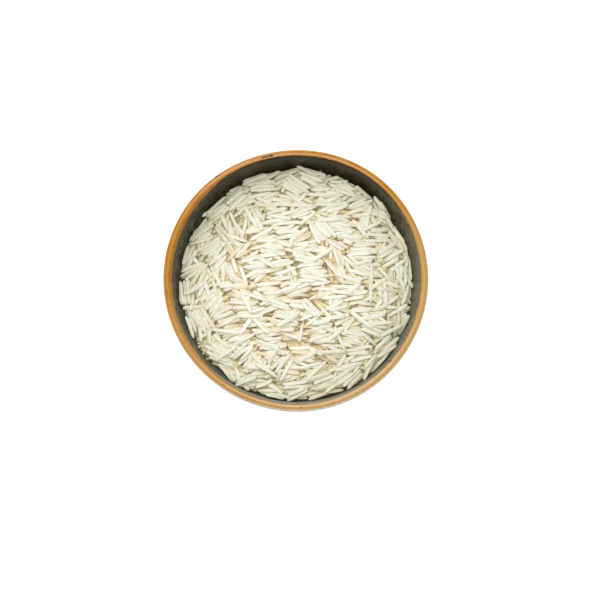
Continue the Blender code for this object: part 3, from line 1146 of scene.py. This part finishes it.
@dataclass
class LooseRice:
    """The rice over the core: laid grain by grain, and those that show made as one mesh for each kind."""

    mound: Mound
    shape: GrainShape = field(default_factory=GrainShape)
    tries: int = 26
    most: int = 2400
    patience: int = 60
    steepest: float = math.radians(36)
    loose_on_top: int = 30
    flattest: float = math.radians(14)
    proud: float = 0.0010
    settle_in: float = 0.00050
    wall_gap: float = 0.0002
    spread: float = 0.38
    crosswise: float = 0.25
    along_wall: float = 0.19
    wall_zone: float = 0.87
    wall_spread: float = 0.32
    clump_chance: float = 0.54
    clump_most: int = 4
    beside_along: float = 0.60
    beside_aside: tuple[float, float] = (0.50, 1.00)
    beside_turn: float = 0.15
    shallowest: float = 0.25
    in_sight: float = 0.06
    base_turn: float = math.radians(-1)
    sway_turn: float = 0.20
    right_turn: float = 0.32
    right_start: float = 0.022
    right_reach: float = 0.014
    swirls: tuple[Swirl, ...] = (
        Swirl(-0.025, 0.020, 0.012, 1.60),
        Swirl(-0.034, 0.0, 0.011, 0.40),
        Swirl(-0.008, -0.032, 0.013, 0.45),
    )
    # Depth below the top grains at which the painted warm shade is full.
    sunk_shade_depth: float = 0.0024
    sorting: float = 0.28
    shade_start: float = 0.45
    shade_reach: float = 0.50
    seed: int = 20
    mix: dict[GrainKind, float] = field(
        default_factory=lambda: {
            GrainKind.PEARLY: 0.42,
            GrainKind.CHALKY: 0.32,
            GrainKind.IVORY: 0.23,
            GrainKind.BROKEN: 0.03,
        }
    )
    finishes: dict[GrainKind, GrainFinish] = field(
        default_factory=lambda: {
            GrainKind.PEARLY: GrainFinish(
                pale=(0.945, 0.905, 0.750), deep=(0.930, 0.835, 0.650), streak=(0.970, 0.940, 0.790)
            ),
            GrainKind.CHALKY: GrainFinish(
                pale=(0.965, 0.950, 0.835),
                deep=(0.930, 0.925, 0.760),
                streak=(0.975, 0.960, 0.850),
                reach_of_light=0.0006,
            ),
            GrainKind.IVORY: GrainFinish(
                pale=(0.850, 0.755, 0.525), deep=(0.790, 0.660, 0.400), streak=(0.915, 0.840, 0.625)
            ),
            GrainKind.BROKEN: GrainFinish(
                pale=(0.955, 0.915, 0.765), deep=(0.930, 0.845, 0.605), streak=(0.975, 0.950, 0.830)
            ),
        }
    )

    def drift(self, x: Array, y: Array) -> Array:
        """The way that neighbouring grains tend to lie, as poured.

        Args:
            x: Places across.
            y: Places away from the viewer.

        Returns:
            Angles from +X.
        """
        sway = np.sin(150.0 * x + 90.0 * y + 1.5) + np.sin(190.0 * y - 110.0 * x + 3.6)
        turn = self.base_turn + self.sway_turn * sway
        for swirl in self.swirls:
            away = (x - swirl.x) ** 2 + (y - swirl.y) ** 2
            turn = turn + swirl.turn * np.exp(-away / swirl.reach**2)
        return turn + self.right_turn * np.clip((x - self.right_start) / self.right_reach, 0.0, 1.0)

    def pick_size(self, draw: np.random.Generator) -> GrainSize:
        """Draws the size of the next grain; a few are broken.

        Args:
            draw: The source of the choice.

        Returns:
            The size.
        """
        shape = self.shape
        length = shape.length * (1.0 + shape.length_spread * draw.normal())
        if draw.uniform() < self.mix[GrainKind.BROKEN]:
            length *= draw.uniform(0.45, 0.65)
        length = float(np.clip(length, shape.shortest, shape.longest))
        wide = 1.0 + shape.width_spread * draw.uniform(-1.0, 1.0)
        return GrainSize(length, shape.width * wide, shape.thickness * wide)

    def places(
        self, draw: np.random.Generator, beside: Grain | None, at_wall: bool
    ) -> tuple[Array, Array, Array]:
        """Draws places to try for the next grain: beside the last one, along the wall or anywhere.

        Args:
            draw: The source of the choice.
            beside: The grain that it lies along, or None.
            at_wall: Whether it lies along the bowl's wall.

        Returns:
            Places across and away from the viewer, and the turn at each.
        """
        if beside is not None:
            along = draw.uniform(-self.beside_along, self.beside_along, self.tries) * beside.size.length
            aside = draw.choice([-1.0, 1.0], self.tries) * draw.uniform(*self.beside_aside, self.tries)
            aside = aside * beside.size.width
            x = beside.x + along * math.cos(beside.yaw) - aside * math.sin(beside.yaw)
            y = beside.y + along * math.sin(beside.yaw) + aside * math.cos(beside.yaw)
            return x, y, beside.yaw + draw.normal(0.0, self.beside_turn, self.tries)
        reach = float(self.mound.bowl.inner_radius(self.mound.edge))
        turn = draw.uniform(0.0, 2.0 * math.pi, self.tries)
        if at_wall:
            distance = reach * draw.uniform(self.wall_zone, 1.0, self.tries)
            yaw = turn + 0.5 * math.pi + draw.normal(0.0, self.wall_spread)
            return distance * np.cos(turn), distance * np.sin(turn), yaw
        distance = reach * np.sqrt(draw.uniform(size=self.tries))
        x, y = distance * np.cos(turn), distance * np.sin(turn)
        yaw = self.drift(x, y) + draw.normal(0.0, self.spread) + math.pi * draw.integers(0, 2)
        if draw.uniform() < self.crosswise:
            yaw = yaw + draw.uniform(0.0, math.pi)
        return x, y, yaw

    def lay(self) -> tuple[GrainBed, list[Grain]]:
        """Lays grains, each in the deepest of several places tried, until the mound is full.

        Returns:
            The height map and the laid grains.
        """
        draw = np.random.default_rng(self.seed)
        bed = GrainBed(self.mound, self.shape)
        laid: list[Grain] = []
        failed = 0
        clump = 0
        while len(laid) < self.most and failed < self.patience:
            size = self.pick_size(draw)
            at_wall = clump == 0 and draw.uniform() < self.along_wall
            x, y, yaw = self.places(draw, laid[-1] if clump > 0 else None, at_wall)
            z, pitch = bed.rest(x, y, yaw, size)
            depth = self.mound.surface(x, y) - z
            depth[np.abs(pitch) > self.steepest] = -1.0
            depth[~self.clear_of_wall(x, y, z, yaw, pitch, size)] = -1.0
            best = int(depth.argmax())
            if depth[best] < self.shallowest * size.thickness:
                failed += clump == 0 and not at_wall
                clump = 0
                continue
            failed = failed if at_wall else 0
            if clump > 0:
                clump -= 1
            elif draw.uniform() < self.clump_chance:
                clump = int(draw.integers(1, self.clump_most + 1))
            spot = (x[best], y[best], z[best] - self.settle_in, yaw[best], pitch[best])
            laid.append(Grain(size, *map(float, spot)))
            bed.cover(laid[-1])
        self.scatter(draw, bed, laid)
        return bed, laid

    def scatter(self, draw: np.random.Generator, bed: GrainBed, laid: list[Grain]) -> None:
        """Drops a few more grains on top, where they lie across the others.

        Args:
            draw: The source of the choice.
            bed: The height map, which is raised under them.
            laid: The laid grains, to which they are added.
        """
        for _ in range(self.loose_on_top):
            size = self.pick_size(draw)
            x, y, yaw = self.places(draw, None, False)
            z, pitch = bed.rest(x, y, yaw, size)
            good = (np.abs(pitch) < self.flattest) & self.clear_of_wall(x, y, z, yaw, pitch, size)
            good &= z < self.mound.surface(x, y) + self.proud
            if not good.any():
                continue
            best = int(np.flatnonzero(good)[0])
            spot = (x[best], y[best], z[best] - 0.5 * self.settle_in, yaw[best], pitch[best])
            laid.append(Grain(size, *map(float, spot)))
            bed.cover(laid[-1])

    def clear_of_wall(
        self, x: Array, y: Array, z: Array, yaw: Array, pitch: Array, size: GrainSize
    ) -> Array:
        """Whether a grain stays off the bowl's wall at each place tried.

        Args:
            x: The places tried, across.
            y: The places tried, away from the viewer.
            z: The heights at which it comes to rest.
            yaw: Its turn at each place.
            pitch: How far it leans there.
            size: Its size.

        Returns:
            True where it is clear.
        """
        clear = np.ones(len(x), dtype=bool)
        for t in (-1.0, -0.75, -0.4, 0.4, 0.75, 1.0):
            along = 0.5 * size.length * t * np.cos(pitch)
            girth = float(self.shape.girth(np.array([t]))[0])
            px, py = x + along * np.cos(yaw), y + along * np.sin(yaw)
            pz = z + along * np.tan(pitch)
            across = np.abs(np.sin(yaw - np.arctan2(py, px)))
            half = 0.5 * girth * size.width * (across + 0.3)
            wall = self.mound.bowl.inner_radius(pz - 0.4 * girth * size.thickness)
            clear &= np.hypot(px, py) + half < wall - self.wall_gap
        return clear

    def net(self, sides: int, rings: int) -> tuple[Array, Array, list[tuple[int, ...]]]:
        """The net of one grain: a point at each end and rings between.

        Args:
            sides: Points round each ring.
            rings: Rings between the ends.

        Returns:
            Each point's place along (-1 to 1) and angle round, and the faces.
        """
        levels = 0.985 * np.sin(0.5 * math.pi * np.linspace(-1.0, 1.0, rings + 2)[1:-1])
        angles = 2.0 * math.pi * np.arange(sides) / sides
        t = np.concatenate([[-1.0], np.repeat(levels, sides), [1.0]])
        theta = np.concatenate([[0.0], np.tile(angles, rings), [0.0]])
        last = 1 + (rings - 1) * sides
        faces: list[tuple[int, ...]] = []
        for i in range(sides):
            j = (i + 1) % sides
            faces.append((0, 1 + j, 1 + i))
            for low in range(1, last, sides):
                faces.append((low + i, low + j, low + sides + j, low + sides + i))
            faces.append((last + sides, last + i, last + j))
        return t, theta, faces

    def points_of(self, grains: list[Grain], t: Array, theta: Array, draw: np.random.Generator) -> Array:
        """Points of many grains at once.

        Args:
            grains: The grains.
            t: The net's places along.
            theta: The net's angles round.
            draw: The source of small differences.

        Returns:
            An array of grains by points by three.
        """
        shape = self.shape

        def column(values: list[float]) -> Array:
            """One value of each grain, as a column."""
            return np.array(values)[:, None]

        def vary(low: float, high: float) -> Array:
            """One random value for each grain, as a column."""
            return draw.uniform(low, high, len(grains))[:, None]

        length = column([grain.size.length for grain in grains])
        width = column([grain.size.width for grain in grains])
        thickness = column([grain.size.thickness for grain in grains])
        t, theta = t[None, :], theta[None, :]
        whole_tip = shape.taper_tip * vary(*shape.tip_range)
        tip = np.where(length < shape.broken_below, shape.broken_taper, whole_tip)
        girth = shape.girth(t, tip, shape.taper_germ * vary(*shape.germ_range))
        ridge = 1.0 + shape.ridge_depth * np.cos(shape.ridges * theta + vary(0.0, 2.0 * math.pi))
        flat = shape.flatness
        section = ridge * (np.abs(np.cos(theta)) ** flat + np.abs(np.sin(theta)) ** flat) ** (-1.0 / flat)
        section = section / (1.0 + 0.6 * shape.ridge_depth)
        swell = 1.0 + shape.swell * np.sin(2.2 * t + vary(0.0, 6.3))
        u = 0.5 * length * t
        v = 0.5 * width * girth * section * swell * np.cos(theta)
        w = 0.5 * thickness * girth * section * swell * np.sin(theta)
        notch = np.exp(-(((t - shape.notch_place) / shape.notch_length) ** 2))
        notch = notch * np.clip(np.sin(theta + 0.4), 0.0, 1.0)
        w -= shape.notch_depth * thickness * girth * notch
        arc = 0.5 - t**2
        v += shape.bend * vary(-1.0, 1.0) * arc + shape.kink * vary(-1.0, 1.0) * np.sin(3.0 * t)
        w += 0.35 * shape.bend * vary(-0.6, 1.0) * arc

        roll = vary(-shape.roll, shape.roll)
        v, w = v * np.cos(roll) - w * np.sin(roll), v * np.sin(roll) + w * np.cos(roll)
        pitch, yaw = column([grain.pitch for grain in grains]), column([grain.yaw for grain in grains])
        level = u * np.cos(pitch) - w * np.sin(pitch)
        x = column([grain.x for grain in grains]) + level * np.cos(yaw) - v * np.sin(yaw)
        y = column([grain.y for grain in grains]) + level * np.sin(yaw) + v * np.cos(yaw)
        z = column([grain.z for grain in grains]) + u * np.sin(pitch) + w * np.cos(pitch)
        return np.stack([x, y, z], axis=-1)

    def kinds_of(self, laid: list[Grain], shown: Array, bed: GrainBed, draw: np.random.Generator) -> Array:
        """Which kind each laid grain is: short ones are broken, high ones often chalky, low ones ivory;
        sorting the tan ivory grains down paints shade into the hollows.

        Args:
            laid: The laid grains.
            shown: The share of each grain that nothing covers.
            bed: The height map of all the laid rice.
            draw: The source of the choice.

        Returns:
            An index into the list of kinds for each grain.
        """
        kinds = list(GrainKind)
        whole = (GrainKind.CHALKY, GrainKind.PEARLY, GrainKind.IVORY)
        middles = np.array([(grain.x, grain.y, grain.z) for grain in laid])
        # Painted shade: the deeper a grain lies, the likelier it is one of the tan ivory ones.
        low = bed.sunk_below(middles) / self.sunk_shade_depth + draw.normal(0.0, self.sorting, len(laid))
        share = np.cumsum([self.mix[kind] for kind in whole])
        limits = np.quantile(low[shown > self.in_sight], share[:-1] / share[-1])
        chosen = np.array([kinds.index(kind) for kind in whole])[np.searchsorted(limits, low)]
        length = np.array([grain.size.length for grain in laid])
        return np.where(length < self.shape.broken_below, kinds.index(GrainKind.BROKEN), chosen)

    def shade(self, spots: Array) -> Array:
        """How much the bowl's wall shades points of the rice, most of all at the back.

        Args:
            spots: The points, one row each.

        Returns:
            Shares from 0 to 1.
        """
        reach = float(self.mound.bowl.inner_radius(self.mound.edge))
        away = np.hypot(spots[:, 0], spots[:, 1]) / reach
        out = np.clip((away - self.shade_start) / self.shade_reach, 0.0, 1.0)
        turn = np.arctan2(spots[:, 1], spots[:, 0])
        aside = 0.15 * np.cos(2.0 * (turn - math.radians(128)))
        return out * (0.78 + 0.18 * np.cos(turn - math.radians(90)) + aside)

    def make(self) -> list[bpy.types.Object]:
        """Lays the rice and makes a piece of each kind, without the grains that are wholly covered.

        Returns:
            The finished pieces.
        """
        bed, laid = self.lay()
        shown = np.array([bed.shows(grain) for grain in laid])
        in_sight, hardly = shown > self.in_sight, (shown <= self.in_sight) & (shown > 0.0)
        LOG.info("laid %d grains: %d made in full, %d plainer", len(laid), in_sight.sum(), hardly.sum())
        draw = np.random.default_rng(self.seed + 1)
        kinds = self.kinds_of(laid, shown, bed, draw)
        pieces = []
        for i, kind in enumerate(GrainKind):
            full = [laid[k] for k in np.flatnonzero((kinds == i) & in_sight)]
            plain = [laid[k] for k in np.flatnonzero((kinds == i) & hardly)]
            pieces.append(self.make_kind(kind, full, plain, bed, draw))
        return pieces

    def make_kind(
        self,
        kind: GrainKind,
        full: list[Grain],
        plain: list[Grain],
        bed: GrainBed,
        draw: np.random.Generator,
    ) -> bpy.types.Object:
        """Joins all the grains of one kind into a mesh and colours it.

        Args:
            kind: The kind to make.
            full: The grains in plain sight.
            plain: The grains that hardly show, made with fewer faces.
            bed: The height map of all the laid rice.
            draw: The source of small differences.

        Returns:
            The finished piece.
        """
        points: list[Array] = []
        faces: list[tuple[int, ...]] = []
        values: dict[str, list[Array]] = {"grain_tone": [], "grain_chalk": [], "grain_edge": []}
        places: list[Array] = []
        start = 0
        shape = self.shape
        fine, coarse = (full, shape.sides, shape.rings), (plain, shape.plain_sides, shape.plain_rings)
        for grains, sides, rings in (fine, coarse):
            count = len(grains)
            t, theta, net = self.net(sides, rings)
            points.append(self.points_of(grains, t, theta, draw).reshape(-1, 3))
            for first in range(start, start + count * len(t), len(t)):
                faces += [tuple(first + corner for corner in face) for face in net]
            start += count * len(t)
            seed = draw.uniform(0.0, 900.0, (count, 1))
            half_mm = np.array([500.0 * grain.size.length for grain in grains])[:, None]
            round_x, round_y = np.cos(theta)[None, :] + seed, np.sin(theta)[None, :] - seed
            local = [half_mm * t[None, :] + seed, round_x, round_y]
            places.append(np.stack(np.broadcast_arrays(*local), -1).reshape(-1, 3))
            belly = draw.uniform(-0.6, 1.0, (count, 1)) * np.exp(-(((t[None, :] - 0.05) / 0.45) ** 2))
            values["grain_tone"].append(np.repeat(draw.uniform(0.0, 1.0, count), len(t)))
            values["grain_chalk"].append(np.clip(belly, 0.0, 1.0).ravel())
            values["grain_edge"].append(np.tile(np.abs(np.cos(theta)) * (np.abs(t) < 1.0), count))
        spots = np.vstack(points)
        mesh = bpy.data.meshes.new(kind.value)
        mesh.from_pydata(spots.tolist(), [], faces)
        add_vectors(mesh, "grain_place", np.vstack(places))
        for name, rows in values.items():
            add_values(mesh, name, np.concatenate(rows))
        # Depth below the grains round about, which sets the painted warm shade.
        add_values(mesh, "grain_sunk", np.clip(bed.sunk_below(spots) / self.sunk_shade_depth, 0.0, 1.0))
        add_values(mesh, "grain_shade", self.shade(spots))
        mesh.shade_smooth()
        mesh.materials.append(self.finishes[kind].material(kind.value))
        return add_piece(kind.value, mesh, "rice")


@dataclass(frozen=True)
class SoftLight:
    """A round soft light that points at the bowl."""

    name: str
    strength: float
    size: float
    place: tuple[float, float, float]
    aim_height: float = 0.03

    def make(self) -> bpy.types.Object:
        """Sets up the light.

        Returns:
            The light.
        """
        data = bpy.data.lights.new(self.name, "AREA")
        data.shape = "DISK"
        data.size = self.size
        data.energy = self.strength
        light = bpy.data.objects.new(self.name, data)
        light.location = self.place
        aim = Vector((0.0, 0.0, self.aim_height)) - Vector(self.place)
        light.rotation_euler = aim.to_track_quat("-Z", "Y").to_euler()
        bpy.context.scene.collection.objects.link(light)
        return light


@dataclass
class Studio:
    """A pale glowing table top, a window behind on the left, a panel overhead, and the camera above."""

    rim_centre: Vector = field(default_factory=lambda: Vector((0.0, 0.0, 0.0455)))
    elevation: float = math.radians(80)
    lens: float = 120.0
    sensor: float = 36.0
    frame_px: int = 600
    px_size: float = 0.0003580
    rim_from_middle_px: tuple[float, float] = (-4.0, 21.6)
    table_size: float = 3.0
    table_colour: Colour = (0.95, 0.95, 0.94)
    sky_colour: Colour = (1.0, 1.0, 1.0)
    table_glow: float = 0.80
    table_roughness: float = 0.9
    table_drop: float = 0.0002
    sky_strength: float = 0.34
    window: SoftLight = field(default_factory=lambda: SoftLight("window", 3.3, 0.28, (-0.23, 0.52, 0.89)))
    panel: SoftLight = field(default_factory=lambda: SoftLight("panel", 5.9, 0.60, (-0.03, -0.14, 1.08)))

    def camera(self) -> bpy.types.Object:
        """Sets the camera above the bowl, tipped a little towards the viewer.

        Returns:
            The camera.
        """
        distance = self.frame_px * self.lens * self.px_size / self.sensor
        back = Vector((0.0, -math.cos(self.elevation), math.sin(self.elevation)))
        up = Vector((0.0, math.sin(self.elevation), math.cos(self.elevation)))
        right = Vector((1.0, 0.0, 0.0))
        off_x, off_y = self.rim_from_middle_px
        aim = self.rim_centre - right * off_x * self.px_size - up * off_y * self.px_size
        data = bpy.data.cameras.new("camera")
        data.lens = self.lens
        data.sensor_width = self.sensor
        data.clip_start = 0.05
        made = bpy.data.objects.new("camera", data)
        made.location = aim + back * distance
        made.rotation_euler = (math.pi / 2 - self.elevation, 0.0, 0.0)
        bpy.context.scene.collection.objects.link(made)
        bpy.context.scene.camera = made
        return made

    def lights(self) -> list[bpy.types.Object]:
        """Sets the white room light, the window and the panel.

        Returns:
            The window and the panel.
        """
        world = bpy.data.worlds.new("room")
        world.use_nodes = True
        glow = world.node_tree.nodes["Background"]
        glow.inputs["Color"].default_value = (*self.sky_colour, 1.0)
        glow.inputs["Strength"].default_value = self.sky_strength
        bpy.context.scene.world = world
        return [self.window.make(), self.panel.make()]

    def table(self) -> bpy.types.Object:
        """Lays the pale table top.

        Returns:
            The table.
        """
        half = self.table_size / 2
        corners = [(-half, -half, 0.0), (half, -half, 0.0), (half, half, 0.0), (-half, half, 0.0)]
        mesh = bpy.data.meshes.new("table_top")
        mesh.from_pydata(corners, [], [(0, 1, 2, 3)])
        desk = NodeDesk("table_top")
        desk.feed(desk.shader.inputs["Base Color"], self.table_colour)
        desk.shader.inputs["Roughness"].default_value = self.table_roughness
        desk.shader.inputs["Emission Color"].default_value = (*self.table_colour, 1.0)
        desk.shader.inputs["Emission Strength"].default_value = self.table_glow
        mesh.materials.append(desk.material)
        top = bpy.data.objects.new("table_top", mesh)
        top.location = (0.0, 0.0, -self.table_drop)
        bpy.context.scene.collection.objects.link(top)
        return top


def main() -> None:
    """Builds the studio, the bowl and the rice, and reports each piece."""
    logging.basicConfig(level=logging.INFO, format="%(message)s")
    bpy.context.scene.view_settings.view_transform = "Standard"
    studio = Studio()
    studio.camera()
    studio.lights()
    studio.table()
    bowl = StonewareBowl()
    report(bowl.make())
    mound = Mound(bowl)
    report(RiceCore(mound).make())
    for piece in LooseRice(mound).make():
        report(piece)


if __name__ == "__main__":
    main()
